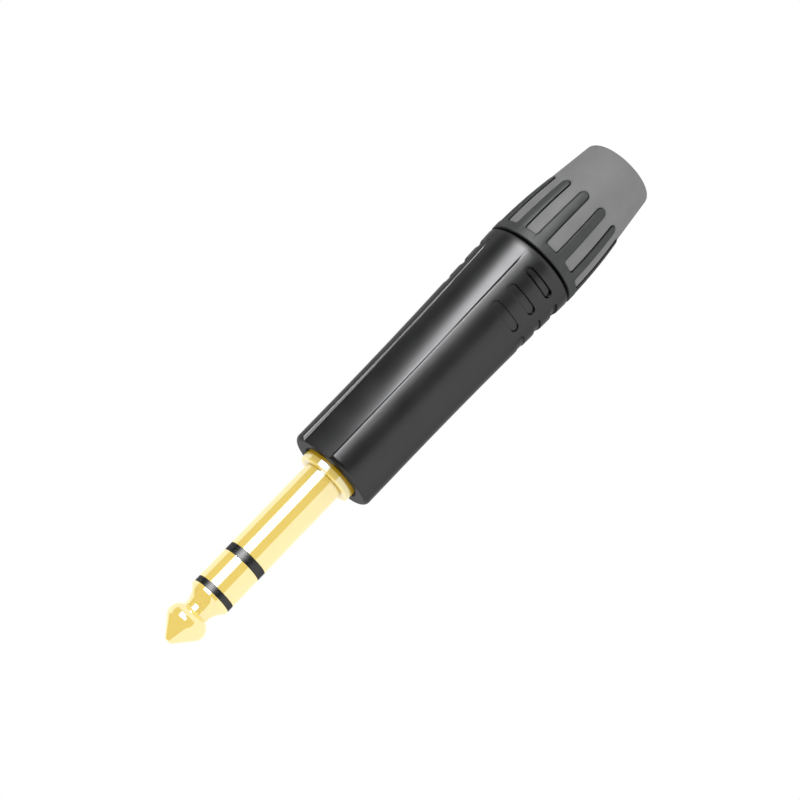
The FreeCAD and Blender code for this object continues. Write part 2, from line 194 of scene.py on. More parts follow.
def add_piece(name, radius, height, angle, finish, body, poles=False, painted_shade=None):
    """Mesh of the surface x = r cos(a), y = r sin(a), z = h over a grid of rows and angles.

    With poles the first and last rows lie on the axis and shrink to one point each, and otherwise the
    rows close on themselves. A share from 0 to 1 may mark the points where the finish paints shade."""
    radius, height, angle = np.broadcast_arrays(radius, height, angle)
    points = np.stack([radius * np.cos(angle), radius * np.sin(angle), height], -1) * MM
    rows, columns = radius.shape
    if poles:
        inner = points[1:-1].reshape(-1, 3)
        points = np.vstack([inner, points[:1, 0], points[-1:, 0]])
        last = (rows - 3) * columns
        faces = grid_faces(rows - 2, columns, False).tolist()
        faces += pole_faces(len(inner), 0, columns, True).tolist()
        faces += pole_faces(len(inner) + 1, last, columns, False).tolist()
    else:
        points = points.reshape(-1, 3)
        faces = grid_faces(rows, columns, True).tolist()
    mesh = bpy.data.meshes.new(name)
    mesh.from_pydata(points.tolist(), [], faces)
    mesh.polygons.foreach_set("use_smooth", np.ones(len(mesh.polygons), bool))
    mesh.set_sharp_from_angle(angle=SHARP)
    mesh.materials.append(finish)
    # The share is painted shade, which the finish turns into a darker colour.
    if painted_shade is not None:
        layer = mesh.attributes.new("painted_shade", "FLOAT", "POINT")
        layer.data.foreach_set("value", np.broadcast_to(painted_shade, radius.shape).astype(np.float32).ravel())
    mesh.update()
    piece = bpy.data.objects.new(name, mesh)
    bpy.context.scene.collection.objects.link(piece)
    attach(piece, body)
    print(name, "faces", len(mesh.polygons))
    return piece


ROUND = np.linspace(0, 2 * math.pi, 192, endpoint=False)[None, :]


def turned_piece(name, rows, finish, body, poles=False, painted_shade=None):
    """Piece with the same outline at every angle."""
    return add_piece(name, rows[:, :1], rows[:, 1:], ROUND, finish, body, poles, painted_shade)


print("a turned piece has", ROUND.size, "points round its axis")

# %% [markdown]
# A finish is a small network of nodes. Each one here starts from the place of the point on the piece,
# in metres, and makes noise of the grain that the real surface shows: turning marks on the contacts,
# orange peel on lacquer, the bloom of rubber. The shader's own sockets take what is the same all over.
# Noise rarely leaves the middle of its range, so that middle is what the helpers stretch. A Mix node
# has sockets of the same names for numbers and for colours, so the colour ones are told by their place.

# %% Helpers for finishes
NOISE_LOW = 0.3
NOISE_HIGH = 0.7
COLOUR_A = 6
COLOUR_B = 7
COLOUR_RESULT = 2


def link(tree, source, target):
    tree.links.new(source, target)


def new_finish(name):
    """Material with one shader, and its tree, shader and object coordinates."""
    finish = bpy.data.materials.new(name)
    finish.use_nodes = True
    tree = finish.node_tree
    shader = tree.nodes["Principled BSDF"]
    place = tree.nodes.new("ShaderNodeTexCoord").outputs["Object"]
    return finish, tree, shader, place


def noise(tree, place, grain_mm, stretch=(1, 1, 1), detail=2.0):
    """Noise whose lumps are about grain_mm wide, stretched by three factors along the axes."""
    mapping = tree.nodes.new("ShaderNodeMapping")
    mapping.inputs["Scale"].default_value = [1 / (grain_mm * MM * s) for s in stretch]
    texture = tree.nodes.new("ShaderNodeTexNoise")
    texture.inputs["Scale"].default_value = 1.0
    texture.inputs["Detail"].default_value = detail
    link(tree, place, mapping.inputs["Vector"])
    link(tree, mapping.outputs["Vector"], texture.inputs["Vector"])
    return texture.outputs["Fac"]


def spread(tree, value, first, last):
    """Noise brought from the middle of its range into the range first to last."""
    node = tree.nodes.new("ShaderNodeMapRange")
    node.inputs["From Min"].default_value = NOISE_LOW
    node.inputs["From Max"].default_value = NOISE_HIGH
    node.inputs["To Min"].default_value = first
    node.inputs["To Max"].default_value = last
    link(tree, value, node.inputs["Value"])
    return node.outputs["Result"]


def tones(tree, value, dark, light):
    """Colour between two tones, by noise."""
    blend = tree.nodes.new("ShaderNodeValToRGB")
    blend.color_ramp.elements[0].position = NOISE_LOW
    blend.color_ramp.elements[0].color = (*dark, 1)
    blend.color_ramp.elements[1].position = NOISE_HIGH
    blend.color_ramp.elements[1].color = (*light, 1)
    link(tree, value, blend.inputs["Fac"])
    return blend.outputs["Color"]


def with_painted_shade(tree, colour, dark):
    """Colour with painted shade: it gives way to a darker one where the piece's own attribute marks it."""
    painted_shade = tree.nodes.new("ShaderNodeAttribute")
    painted_shade.attribute_name = "painted_shade"
    mix = tree.nodes.new("ShaderNodeMix")
    mix.data_type = "RGBA"
    link(tree, painted_shade.outputs["Fac"], mix.inputs["Factor"])
    link(tree, colour, mix.inputs[COLOUR_A])
    mix.inputs[COLOUR_B].default_value = (*dark, 1)
    return mix.outputs[COLOUR_RESULT]


def bump(tree, value, height_mm):
    """Normal that follows a value as relief of a height."""
    node = tree.nodes.new("ShaderNodeBump")
    node.inputs["Strength"].default_value = 1.0
    node.inputs["Distance"].default_value = height_mm * MM
    link(tree, value, node.inputs["Height"])
    return node.outputs["Normal"]


def tell(*finishes):
    """Print how large the network of each finish is."""
    for finish in finishes:
        print("finish", finish.name, "with", len(finish.node_tree.nodes), "nodes")


print("noise is stretched from", NOISE_LOW, "to", NOISE_HIGH)

# %% [markdown]
# Gilding is a thin film of gold over polished nickel. Seen close it has two voices: a warm, soft glow
# that takes its colour from the metal, and a sharp mirror image of the lamps, nearly white and a little
# cooler than the gold. A metallic shader would give the second alone, and all of it yellow, so this is a
# matt gold under a glossy skin of high index. Rings of fine noise are the turning marks. Where a corner
# keeps the light out, a deeper gold is painted into the colour as painted shade.

# %% Finish of the contacts
def gilded_finish():
    finish, tree, shader, place = new_finish("gilded_brass")
    marks = noise(tree, place, 0.09, (40, 40, 1), 3.0)
    cloud = noise(tree, place, 2.5)
    film = tones(tree, cloud, (0.87, 0.635, 0.125), (0.89, 0.655, 0.14))
    # Painted shade: a deep gold where the piece's mark is 1, in its corners.
    link(tree, with_painted_shade(tree, film, (0.52, 0.30, 0.006)), shader.inputs["Base Color"])
    link(tree, spread(tree, marks, 0.018, 0.024), shader.inputs["Roughness"])
    link(tree, bump(tree, marks, 0.00002), shader.inputs["Normal"])
    shader.inputs["Metallic"].default_value = 0.0
    shader.inputs["IOR"].default_value = 3.1
    shader.inputs["Specular Tint"].default_value = (0.6, 0.82, 1, 1)
    return finish


gold = gilded_finish()
tell(gold)

# %% [markdown]
# The shell is cast metal under black lacquer, which flows a little before it sets and keeps a faint
# orange peel. Almost all that is seen of it is the reflection of the room, so the colour is close to
# nothing. The polished bands do the same. Narrow cuts lie in shade, and that shade is painted: a mark on
# the points of their walls, from 0 to 1, turns the colour black there.

# %% Finish of the shell and of the black plastics
def black_mirror(name, gloss):
    """Dark lacquer or polished plastic: a mirror that gives back a twentieth of the light at any angle."""
    finish, tree, shader, place = new_finish(name)
    peel = noise(tree, place, 0.35, detail=1.0)
    cloud = noise(tree, place, 4.0)
    lacquer = tones(tree, cloud, (0.050, 0.050, 0.051), (0.053, 0.053, 0.054))
    # Painted shade: black where the piece's mark is 1, in the shell's grooves and at its rims.
    link(tree, with_painted_shade(tree, lacquer, (0.006, 0.006, 0.006)), shader.inputs["Base Color"])
    link(tree, spread(tree, cloud, gloss - 0.02, gloss + 0.02), shader.inputs["Roughness"])
    link(tree, bump(tree, peel, 0.0003), shader.inputs["Normal"])
    shader.inputs["Metallic"].default_value = 1.0
    shader.inputs["Specular Tint"].default_value = (0.5, 0.5, 0.5, 1)
    return finish


def plastic_finish(name, dark, light, grain_mm, relief_mm, gloss):
    """Moulded plastic: two near tones, a fine grain and a roughness that wanders a little."""
    finish, tree, shader, place = new_finish(name)
    grain = noise(tree, place, grain_mm, detail=3.0)
    cloud = noise(tree, place, 12 * grain_mm)
    link(tree, tones(tree, cloud, dark, light), shader.inputs["Base Color"])
    link(tree, spread(tree, grain, gloss - 0.04, gloss + 0.04), shader.inputs["Roughness"])
    link(tree, bump(tree, grain, relief_mm), shader.inputs["Normal"])
    return finish


shell = black_mirror("shell_metal", 0.35)
band = black_mirror("band_plastic", 0.34)
carrier = plastic_finish("inner_plastic", (0.018, 0.018, 0.019), (0.024, 0.024, 0.025), 0.2, 0.002, 0.5)
jaws = plastic_finish("chuck_plastic", (0.62, 0.61, 0.58), (0.70, 0.69, 0.66), 0.2, 0.002, 0.42)
tell(shell, band, carrier, jaws)

# %% [markdown]
# Collar and boot are the matt end of the plug. The collar is a dark, slightly green moulding with a
# satin skin, and the boot is a light grey rubber whose skin is dusty with filler. Both have a grain
# much finer than their ribs, so that it shows as softness and not as a pattern.

# %% Finish of the collar and the boot
def collar_finish():
    finish, tree, shader, place = new_finish("collar_plastic")
    grain = noise(tree, place, 0.12, detail=4.0)
    cloud = noise(tree, place, 2.0)
    skin = tones(tree, cloud, (0.062, 0.0645, 0.0637), (0.069, 0.0715, 0.0707))
    # Painted shade: near black where the collar's mark is 1.
    link(tree, with_painted_shade(tree, skin, (0.003, 0.003, 0.003)), shader.inputs["Base Color"])
    link(tree, spread(tree, grain, 0.44, 0.56), shader.inputs["Roughness"])
    link(tree, bump(tree, grain, 0.004), shader.inputs["Normal"])
    shader.inputs["Metallic"].default_value = 0.45
    shader.inputs["Specular Tint"].default_value = (0.5, 0.5, 0.5, 1)
    shader.inputs["Specular IOR Level"].default_value = 0.0
    return finish


def rubber_finish():
    finish, tree, shader, place = new_finish("boot_rubber")
    grain = noise(tree, place, 0.16, detail=5.0)
    cloud = noise(tree, place, 3.0)
    link(tree, tones(tree, cloud, (0.178, 0.178, 0.178), (0.196, 0.196, 0.196)), shader.inputs["Base Color"])
    link(tree, spread(tree, grain, 0.55, 0.65), shader.inputs["Roughness"])
    link(tree, bump(tree, grain, 0.008), shader.inputs["Normal"])
    shader.inputs["Metallic"].default_value = 0.15
    shader.inputs["Specular Tint"].default_value = (0.5, 0.5, 0.5, 1)
    shader.inputs["Specular IOR Level"].default_value = 0.0
    return finish


collar = collar_finish()
rubber = rubber_finish()
tell(collar, rubber)

# %% [markdown]
# The tags inside are stamped brass with a tin coat, cool and faintly brushed along their length. Noise
# that is stretched twentyfold in that direction makes the brush strokes, in the tone, the gloss and the
# relief alike.

# %% Finish of the solder tags
def tag_finish():
    finish, tree, shader, place = new_finish("tag_metal")
    brush = noise(tree, place, 0.06, (1, 1, 20), 3.0)
    link(tree, tones(tree, brush, (0.58, 0.58, 0.56), (0.68, 0.68, 0.66)), shader.inputs["Base Color"])
    link(tree, spread(tree, brush, 0.28, 0.42), shader.inputs["Roughness"])
    link(tree, bump(tree, brush, 0.002), shader.inputs["Normal"])
    shader.inputs["Metallic"].default_value = 1.0
    return finish


tags = tag_finish()
tell(tags)

# %% [markdown]
# The tip is the contact that plugs in first. From the front it has a small blunt nose, a cone that
# finds the hole, a bulb, a sharp valley where the socket's spring snaps in, a hollow flare and a land.
# Its outline is drawn from the rear to the front, with the rod through the shaft and the rivet head on
# its inner end, and is turned about the axis, from pole to pole.

# %% Tip contact
plug_r = reach("ring_contact", z_front_band - 1, z_front_band)
bulb_r = plug_r - 0.075
land_r = plug_r - 0.015
rod_r = 1.0
rivet_r = 1.6
rivet_round = 0.2
rivet_height = 0.7
z_rivet = low("tip_contact")
nose_r = 0.5
nose_bend = 0.36
cone_length = 2.8
cone_r = 2.89
crest = 0.8
bulb_length = 2.5
valley_r = 1.95
neck_length = 0.6
hollow_r = 2.2
hollow_drop = 0.9
land = 0.5


def tip_rows():
    """Outline of the tip from the rivet head up to the nose, in (radius, height) rows."""
    z_cone = z_nose - cone_length
    z_valley = z_cone - bulb_length
    z_neck = z_valley - neck_length
    z_land = z_tip_contact + land
    z_head = z_rivet + rivet_height
    rear = outline([(0, z_rivet, 0), (rivet_r, z_rivet, rivet_round), (rivet_r, z_head, 0),
                    (rod_r, z_head, 0), (rod_r, z_tip_contact, 0), (land_r, z_tip_contact, EDGE),
                    (land_r, z_land, 0)])
    flare = arc_through((land_r, z_land), (hollow_r, z_neck - hollow_drop), (valley_r, z_neck), 24)
    bulb = arc_through((valley_r, z_valley), (bulb_r, z_cone - crest), (cone_r, z_cone), 32)
    nose_corner = np.array([nose_r, z_nose])
    slope = unit(nose_corner - np.array([cone_r, z_cone]))
    nose = fillet(nose_corner - slope, nose_corner, np.array([0, z_nose]), nose_bend, 9)
    return np.vstack([rear, flare[1:], bulb, nose, [[0, z_nose]]])


tip = turned_piece("tip", tip_rows(), gold, "housing_body", poles=True)
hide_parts("tip_contact")

# %% [markdown]
# Two black bands keep the three contacts apart. Each is the thick front of a thin tube that runs back
# inside the next contact, and stands a hair lower than the metal, as moulded plastic does beside
# turned brass. The tubes fit one inside the other: each outer radius is the bore of the next.

# %% Insulating bands
front_tube_r = 1.45
ring_tube_r = 1.9
rear_tube_r = 2.35
band_r = plug_r - 0.015


def stepped_tube(front_r, rear_r, inner_r, z_rear, z_step, z_front):
    """Outline of a tube with a thick front: up the outside, in over the front and down the bore."""
    return outline([(rear_r, z_rear, EDGE), (rear_r, z_step, 0), (front_r, z_step, EDGE),
                    (front_r, z_front, EDGE), (inner_r, z_front, 0), (inner_r, z_rear, 0)])


front_rows = stepped_tube(band_r, front_tube_r, rod_r, low("tip_insulator"), z_front_band, z_tip_contact)
rear_rows = stepped_tube(band_r, rear_tube_r, ring_tube_r, low("ring_insulator"), z_sleeve, z_ring_contact)
front_band = turned_piece("front_band", front_rows, band, "housing_body")
rear_band = turned_piece("rear_band", rear_rows, band, "housing_body")
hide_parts("tip_insulator")
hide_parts("ring_insulator")

# %% [markdown]
# The ring is the middle contact. The sleeve is the long one, and its shoulder fills the hole in the
# shell's front wall. The two are plain turned barrels, so all their life is in their edges: the sleeve
# meets the shoulder in a fine undercut, and the shoulder's rim is rounded more than the others. Two
# corners are marked so that the gilding paints a deeper gold there: in the undercut it is painted shade,
# and at the foot of the shoulder a painted reflection of the shell's black face.
# A ramp makes such a mark, and many of the shapes that follow.

# %% Ring and sleeve
shoulder_r = 4.38
shoulder_round = 0.2
undercut = 0.07
undercut_length = 1.6 * undercut
undercut_shade = 0.6
foot = 0.3
z_foot_end = z_face + 1.5 * foot
z_shoulder = z_face + 1.4
z_wall = z_face - 2.2
z_flange = z_wall - 1.2
flange_r = 5.25
sleeve_tube_r = 2.95


def ramp(value, empty, full):
    """0 up to one value, 1 from the other on, and a straight line between, upwards or downwards."""
    return np.clip((value - empty) / (full - empty), 0, 1)


def corner_shade_mark(rows):
    """Mark of painted shade and reflection on the sleeve's outline, from 0 to 1.

    Outside the sleeve's barrel it is 1 up to the foot's height over the shell's face and falls to 0 at
    one and a half times that height. The rows of the undercut are marked as well."""
    radius, height = rows[:, :1], rows[:, 1:]
    at_foot = ramp(height, z_foot_end, z_face + foot) * (radius > plug_r)
    return np.where(np.isclose(radius, plug_r - undercut), undercut_shade, at_foot)


ring_rows = stepped_tube(plug_r, ring_tube_r, front_tube_r, low("ring_contact"), z_ring_contact, z_front_band)
sleeve_rows = outline([
    (sleeve_tube_r, low("sleeve_contact"), 0), (sleeve_tube_r, z_flange, 0), (flange_r, z_flange, EDGE),
    (flange_r, z_wall, EDGE), (shoulder_r, z_wall, 0), (shoulder_r, z_face + foot, 0),
    (shoulder_r, z_foot_end, 0), (shoulder_r, z_shoulder, shoulder_round), (plug_r - undercut, z_shoulder, 0),
    (plug_r - undercut, z_shoulder + undercut, 0), (plug_r, z_shoulder + undercut_length, 0),
    (plug_r, z_sleeve, EDGE), (rear_tube_r, z_sleeve, 0), (rear_tube_r, low("sleeve_contact"), 0),
])
ring = turned_piece("ring", ring_rows, gold, "housing_body")
# The sleeve's mark is painted shade and reflection for the gilding.
sleeve = turned_piece("sleeve", sleeve_rows, gold, "housing_body", painted_shade=corner_shade_mark(sleeve_rows))
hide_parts("ring_contact")
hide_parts("sleeve_contact")

# %% [markdown]
# The shell is one surface over height and angle. Its radius starts as a smooth flare, and two kinds of
# cut are taken off: a long panel whose floor is flatter than the round shell, and rows of short grip
# grooves with round ends. Booleans would cut them too, but would leave ragged faces at the rims. So each
# cut is a signed distance to its outline, in millimetres on the surface, and one function gives every
# wall the same small rounding at its top. The floor of a groove comes out deeper towards the rear.
# The grooves' walls are marked for painted shade. Each pair of numbers below gives where a mark is 0 and
# where it is 1: by the cosine of the angle from the middle between the panels, by the share of the full
# depth, or by the place ahead, which runs from -1 at the rear wall to 1 at the front wall.

# %% Cuts in the shell
cut_lip = 0.05
panel_half = math.radians(27.0)
panel_edge_depth = 0.42
panel_middle_depth = 0.92
panel_wall_slope = 0.7
panel_narrowing = math.radians(2.2)
crease_depth = 0.1
crease_half_width = 0.13
z_panel_end = z_housing + 1.7
groove_half = math.radians(23.0)
groove_width = 1.35
groove_floor_r = 7.13
groove_heights = z_housing + 2.9 + 3.5 * np.arange(3)
groove_angles = np.radians([60, 120, 240, 300])
mark_soft = 0.04
wall_top = (0.15, 0.275)
wall_foot = (1, 0.875)
wall_ahead = (0.7, -0.3)
hook_lip = 0.06
hook_width = 0.24
hook_soft = 0.05
hook_side = (0.65, 0.9)
hook_ahead = (1.6, 0.6)
shadow_side = (0.567, 0.733)
shadow_ahead = (0.05, 0.217)
shadow_lean = 0.4
front_r = reach("housing", z_face - 2, z_face)
rear_r = 7.62
rear_round = 0.3
rear_bevel = 0.09
z_flare = z_housing + 35.2


def turn_to(angle, centre):
    """Angle from a centre line, between minus pi and pi."""
    return (angle - centre + math.pi) % (2 * math.pi) - math.pi


def wall(distance, depth, lip, steepness=4.0):
    """How far a cut goes in, by the distance to its outline, negative inside.

    Far inside, the surface falls with s |d|, where s is the steepness. The rim is rounded by the
    hyperbola s (sqrt(d^2 + w^2) - d) / 2, whose bend is about the lip w wide, and the floor stops it.
    The fall is taken to start six lips outside the outline."""
    fall = steepness * (np.sqrt(distance**2 + lip**2) - distance) / 2
    start = steepness * (np.sqrt((6 * lip)**2 + lip**2) - 6 * lip) / 2
    return np.minimum(np.maximum(fall - start, 0), depth)


def shell_radius(z):
    """Radius of the bare shell: a cylinder in front, and behind it a curve that grows with the square."""
    share = ramp(z, z_flare, z_housing)
    return front_r + (rear_r - front_r) * share**2


def panel_cut(angle, z, radius):
    """Cut of the two panels, whose floor is a flat arc that comes up to the surface at the rear.

    The panels are a little narrower there, and a fine crease follows the foot of each wall. It is
    deepest near the rear and dies out towards the front.
    The arc goes through the radius m in the middle and e at the two ends, h to each side. Its centre
    lies at c = (e^2 - m^2) / (2 (e cos h - m)) on the middle line, and at an angle a from that line
    its distance from the axis is c cos(a) + sqrt((m - c)^2 - c^2 sin(a)^2)."""
    fade = ramp(z, z_panel_end, z_face)
    end_r = radius - panel_edge_depth * fade
    middle_r = radius - panel_middle_depth * fade
    half = panel_half - panel_narrowing * (1 - fade)
    floor_half = half - panel_wall_slope * panel_edge_depth * fade / radius
    centre_r = (end_r**2 - middle_r**2) / (2 * (end_r * np.cos(floor_half) - middle_r))
    total = np.zeros(np.broadcast(angle, z).shape)
    for centre in (-math.pi / 2, math.pi / 2):
        turn = turn_to(angle, centre)
        bounded = np.clip(turn, -half, half)
        reach_r = (middle_r - centre_r)**2 - (centre_r * np.sin(bounded))**2
        floor_r = centre_r * np.cos(bounded) + np.sqrt(reach_r)
        distance = (np.abs(turn) - half) * radius
        total = total + wall(distance, np.maximum(radius - floor_r, 0), cut_lip, 1 / panel_wall_slope)
        from_foot = np.abs((np.abs(turn) - floor_half) * radius)
        crease = ramp(from_foot, crease_half_width, 0)
        total = total + crease_depth * crease * (1 - fade)**2 * ramp(fade, 0, 0.05)
    return total


def groove_shade_mark(distance, share, ahead, angle, round_end, deepest):
    """Mark of painted shade on the walls of one groove, from 0 to 1.

    A wall is marked where the cut's share of the full depth is neither 0 nor 1, along the rear, and
    less and less towards the front. Round the end that lies far from the panels the mark takes in the
    lip and some of the floor, as a hook. In the deepest groove the floor behind the front wall is
    marked too, and this shadow leans forward at the far end."""
    from_panels = np.abs(np.cos(angle))
    far = ramp(from_panels, *hook_side)
    wall_shade = ramp(share, *wall_top) * ramp(share, *wall_foot) * ramp(ahead, *wall_ahead)
    over_lip = ramp(distance, hook_lip, hook_lip - mark_soft)
    on_floor = ramp(distance, -hook_width, hook_soft - hook_width)
    mark = np.maximum(wall_shade, over_lip * on_floor * far * round_end * ramp(ahead, *hook_ahead))
    if deepest:
        shadow = ramp(ahead - shadow_lean * far, *shadow_ahead) * ramp(distance, 0, -mark_soft)
        mark = np.maximum(mark, shadow * ramp(from_panels, *shadow_side))
    return mark


def groove_cut(angle, z, radius):
    """Cut of the grip grooves, slots with round ends whose floor is a cylinder, and the painted shade on
    them.
    """
    total = np.zeros(np.broadcast(angle, z).shape)
    mark = np.zeros_like(total)
    depth = np.maximum(radius - groove_floor_r, 0)
    half_length = groove_half * groove_floor_r - groove_width / 2
    for centre in groove_angles - math.pi / 2:
        along = np.maximum(np.abs(turn_to(angle, centre)) * radius - half_length, 0)
        for height in groove_heights:
            distance = np.hypot(along, z - height) - groove_width / 2
            cut = wall(distance, depth, cut_lip)
            share = cut / np.maximum(depth, 0.001)
            ahead = 2 * (z - height) / groove_width
            deepest = height == groove_heights[0]
            total = total + cut
            mark = np.maximum(mark, groove_shade_mark(distance, share, ahead, angle, along > 0, deepest))
    return total, mark


print("shell radius from", round(front_r, 2), "in front to", rear_r, "at the rear")

# %% [markdown]
# The grid has to be fine where a wall drops and may be coarse on the plain flare. The same helper
# spaces the rows and the columns: it packs them round the panel's edges and the grooves' ends.

# %% Rows and columns of the shell
def column_angles():
    """Angles round the shell, close together at the panels' edges and at the grooves' ends."""
    panel_edge, panel_reach = 25.8, 2.2
    groove_end, before_end, past_end = 20, 3.2, 4.4
    stretches = []
    for side in (-1, 1):
        for centre in (-90, 90):
            edge = centre + side * panel_edge
            stretches.append((edge - panel_reach, edge + panel_reach, 0.2))
        for centre in (-30, 30, 150, 210):
            end = centre + side * groove_end
            limits = (end - side * before_end, end + side * past_end)
            stretches.append((min(limits), max(limits), 0.42))
    stretches = [(a + turn, b + turn, step) for a, b, step in stretches for turn in (-360, 0, 360)]
    return np.radians(spaced(-180, 180, 2.4, stretches)[:-1])[None, :]


def shell_heights():
    """Heights up the outside of the shell, close together at the walls of the grooves."""
    wall_reach, groove_reach, edge_length = 0.2, 0.8, 0.95
    stretches = []
    for height in groove_heights:
        stretches.append((height - groove_reach, height + groove_reach, 0.11))
        for side in (-1, 1):
            edge = height + side * groove_width / 2
            stretches.append((edge - wall_reach, edge + wall_reach, 0.035))
    return spaced(z_housing + rear_round, z_face - edge_length, 1.0, stretches)


shell_angles = column_angles()
print("columns", shell_angles.size, "rows", shell_heights().size)

# %% [markdown]
# The collar screws into the rear of the shell. A thread is a ridge that climbs once round for each
# pitch, so its height on the surface depends only on z less the angle's share of a pitch. The male and
# the female ridge lie half a pitch apart and never touch, however far the collar is turned.

# %% Screw thread
pitch = 1.0
thread_height = 0.25
thread_end = 0.2


def thread(angle, z, z0, z1, shift):
    """Ridge of a right-hand thread between two heights: a smooth wave of z / pitch - angle / full turn.

    It fades in and out over half a pitch at each end."""
    wave = 0.5 + 0.5 * np.cos(2 * math.pi * (z / pitch + shift) - angle)
    ends = ramp(z, z0, z0 + pitch / 2) * ramp(z, z1, z1 - pitch / 2)
    return thread_height * wave**2 * ends


print("thread of pitch", pitch, "mm, with a ridge", thread_height, "mm high")

# %% [markdown]
# With the cuts and the thread as functions, the shell is a matter of walking round its section: up the
# flare, over the rounded front edge, in across the face, down the hole and the cavity, and back down
# the thread to the rear edge.

# %% Shell
front_round = 0.75
hole_r = shoulder_r + 0.07
hole_chamfer = 0.35
cavity_r = 5.55
thread_r = 6.4
z_thread = z_spigot + 0.65
thread_chamfer = 0.15
key_half_width = 1.0
key_groove_r = 5.9
face_rows = 24
rim_shade = (0.7, 1, 1)


def shell_grid():
    """Radius and height of the shell for every row and column, and the mark of its painted shade.

    The marks are the grooves' own, the rim of the hole in front and the edge at the rear.
    In front, the panel's floor runs on until it meets the rounded edge or the face. With f the rounding
    and d the cut there, that is at the angle arccos(1 - d / f) along the rounding, and from that point
    to the rim of the hole the rows share out the length of the section evenly."""
    flat = np.ones_like(shell_angles)
    z_outside = shell_heights()[:, None]
    bare = shell_radius(z_outside)
    grooves, wall_shade = groove_cut(shell_angles, z_outside, bare)
    outside = bare - panel_cut(shell_angles, z_outside, bare) - grooves

    cut = panel_cut(shell_angles, np.array([[z_face]]), front_r)
    meeting = np.arccos(np.clip(1 - cut / front_round, 0, 1))
    share = np.linspace(0, 1, 6)[1:, None]
    z_edge = z_outside[-1] + (z_face - front_round * (1 - np.sin(meeting)) - z_outside[-1]) * share
    edge = front_r - panel_cut(shell_angles, z_edge, front_r)

    quarter = front_round * math.pi / 2
    rim_r = hole_r + hole_chamfer
    start = front_round * meeting + np.maximum(cut - front_round, 0)
    length = quarter + front_r - front_round - rim_r
    along = start + (length - start) * np.linspace(0, 1, face_rows + 1)[1:, None]
    bend = np.minimum(along, quarter) / front_round
    face_r = front_r - front_round * (1 - np.cos(bend)) - np.maximum(along - quarter, 0)
    face_z = z_face - front_round * (1 - np.sin(bend))

    rim = np.array([[hole_r, z_face - hole_chamfer], [hole_r, z_wall],
                    [cavity_r, z_wall], [cavity_r, z_flange]])
    across = np.abs(np.sin(shell_angles)) * key_groove_r
    key = np.where(across < key_half_width, key_groove_r, cavity_r)
    lower = np.array([z_flange, z_thread])[:, None]

    z_bore = np.linspace(z_thread, z_housing + thread_chamfer, 62)[:, None]
    bore = thread_r - thread(shell_angles, z_bore, z_housing + 0.6, z_thread - thread_end, shift=0.5)
    rear = np.array([[thread_r + thread_chamfer, z_housing], [rear_r - rear_round, z_housing],
                     [rear_r - rear_bevel, z_housing + rear_bevel]])

    radius = np.vstack([outside, edge, face_r, rim[:, :1] * flat, key * np.ones((2, 1)), bore,
                        rear[:, :1] * flat])
    height = np.vstack([z_outside * flat, z_edge, face_z, rim[:, 1:] * flat, lower * flat, z_bore * flat,
                        rear[:, 1:] * flat])
    # Painted shade: black in the grooves, at the rim of the hole and on the rear edge.
    painted_shade = np.zeros_like(radius)
    painted_shade[:len(wall_shade)] = wall_shade
    painted_shade[-len(rear):] = 1
    first_rim = len(outside) + len(z_edge) + len(face_r)
    painted_shade[first_rim - 1:first_rim + 2] = np.array(rim_shade)[:, None]
    return radius, height, painted_shade


shell_r, shell_z, shell_steep = shell_grid()
housing = add_piece("shell", shell_r, shell_z, shell_angles, shell, "housing_body", painted_shade=shell_steep)
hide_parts("housing")

# %% [markdown]
# The collar ends in twelve fingers, rounded at their ends and filleted at their roots, and the rubber
# of the boot fills the gaps just below their tops. One signed distance serves both pieces: the collar
# stands up where it is negative, and the rubber drops away under the fingers by the same line, a
# little wider, which leaves the fine dark joint of a moulding. The skin stays a hair inside the collar
# that came in, whose round faces are made of flat ones.

# %% Outline of the fingers
finger_count = 12
first_finger = math.radians(3.0)
finger_root = 0.925
finger_end = 0.8
root_fillet = 0.4
hair = 0.004
collar_r = reach("clamp_nut", z_ring, z_ring + 2) - hair
finger_end_r = 6.9
z_bend = z_ring + 0.5
z_collar = z_ring + 1.45
rubber_step = 0.2
core_front_r = collar_r - 1.1
core_rear_r = finger_end_r - 1.3


def finger_radius(z):
    """Radius over the fingers: a cylinder at the ring, then a curve that falls with the square."""
    share = np.clip((z_bend - z) / (z_bend - z_fingers), 0, None)
    return collar_r + (finger_end_r - collar_r) * share**2


def core_radius(z):
    """Radius of the cone that the fingers stand on."""
    share = ramp(z, z_ring, z_core)
    return core_front_r + (core_rear_r - core_front_r) * share


def finger_distance(angle, z):
    """Distance to the outline of the ring and its fingers, unrolled, negative inside.

    A finger is a tapering strip with a half circle at its end. The ring is all that lies above its
    rear edge. The two are joined with a fillet: r less the length of (r - a, r - b), where both the
    distances a and b are under r."""
    period = 2 * math.pi / finger_count
    turn = (angle - first_finger + period / 2) % period - period / 2
    across = np.abs(turn) * finger_radius(z)
    z_end = z_fingers + finger_end
    half = finger_end + (finger_root - finger_end) * ramp(z, z_end, z_ring)
    finger = np.where(z >= z_end, across - half, np.hypot(across, z - z_end) - finger_end)
    ring_edge = z_ring - z
    corner = np.hypot(np.maximum(root_fillet - finger, 0), np.maximum(root_fillet - ring_edge, 0))
    return np.maximum(root_fillet, np.minimum(finger, ring_edge)) - corner


def finger_columns():
    """Angles round the collar, close together at the sides of each finger."""
    period = 360 / finger_count
    side_from, side_to = 5.6, 8.0
    stretches = [(-side_to, -side_from, 0.3), (side_from, side_to, 0.3), (-side_from, side_from, 0.9)]
    one = spaced(-period / 2, period / 2, 1.15, stretches)[:-1]
    every = one[None, :] + period * np.arange(finger_count)[:, None]
    return np.radians(every.ravel())[None, :] + first_finger


def finger_heights(z0, z1):
    """Heights over the fingers, close together at their ends and at their roots."""
    stretches = [(z_fingers - 0.1, z_fingers + 0.9, 0.06), (z_ring - 0.5, z_ring + 0.05, 0.05)]
    return spaced(z0, z1, 0.6, stretches)


collar_angles = finger_columns()
print("collar columns", collar_angles.size)
